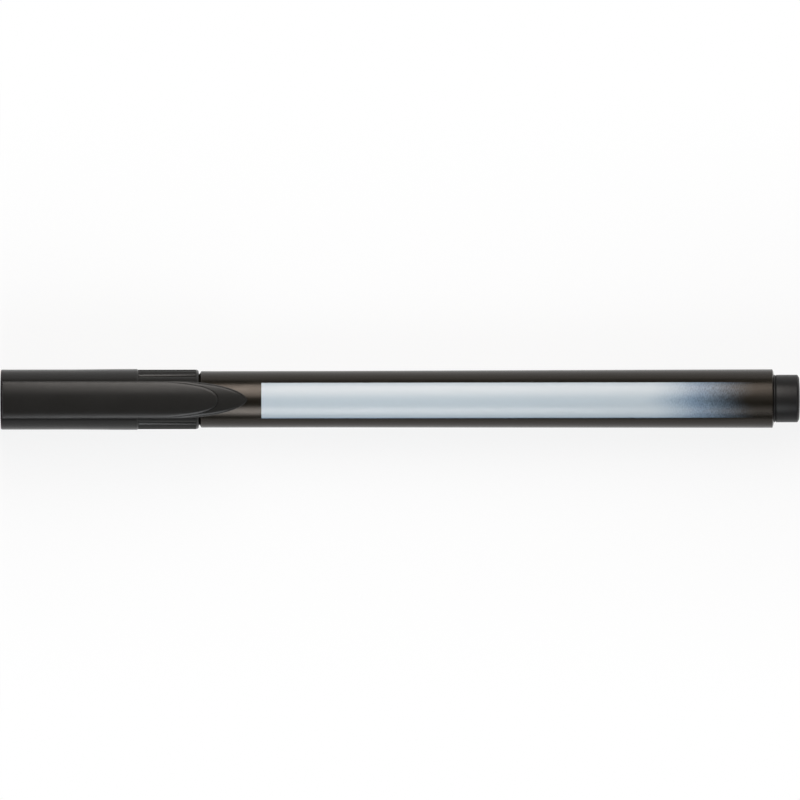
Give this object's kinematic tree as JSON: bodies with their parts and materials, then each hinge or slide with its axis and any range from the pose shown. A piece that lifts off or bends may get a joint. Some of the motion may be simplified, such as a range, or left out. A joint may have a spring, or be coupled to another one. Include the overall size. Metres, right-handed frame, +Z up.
{
  "type": "fineliner pen",
  "caption": "Slim capped fineliner pen: fluted black cap with a moulded pocket clip, dark barrel with a pale panel, end plug, and a steel-clad nib fed by a fibre ink core.",
  "frame": {"origin": "under the middle of the pen's length and width, on the surface that it lies on", "axes": "+X along the pen from the cap's crown to the end plug, +Z up through the clip"},
  "size_m": [0.1368, 0.0104, 0.0123],
  "materials": {
    "cap_plastic": "satin moulded black plastic",
    "liner_plastic": "soft natural plastic",
    "barrel_plastic": "glossy brown-black plastic with a pale printed panel",
    "holder_plastic": "satin moulded black plastic",
    "sleeve_steel": "drawn and swaged steel tube",
    "nib_plastic": "ink-stained acetal",
    "reservoir_fibre": "ink-soaked polyester fibre",
    "reservoir_film": "clear wrapping film",
    "plug_plastic": "satin moulded black plastic"
  },
  "bodies": {
    "pen": {"barrel": "barrel_plastic", "nib_holder": "holder_plastic", "nib_sleeve": "sleeve_steel", "nib_rod": "nib_plastic", "ink_reservoir": "reservoir_fibre", "reservoir_film": "reservoir_film", "end_plug": "plug_plastic"},
    "cap_liner": {"inner_cap": "liner_plastic"},
    "cap": {"cap": "cap_plastic"}
  },
  "joints": [
    {"name": "cap_pull", "type": "slide", "parent": "pen", "child": "cap_liner", "axis": [-1, 0, 0], "range_m": [0, 0.045]},
    {"name": "cap_turn", "type": "hinge", "parent": "cap_liner", "child": "cap", "pos_m": [-0.05145, 0, 0.00521], "axis": [1, 0, 0], "continuous": true}
  ]
}
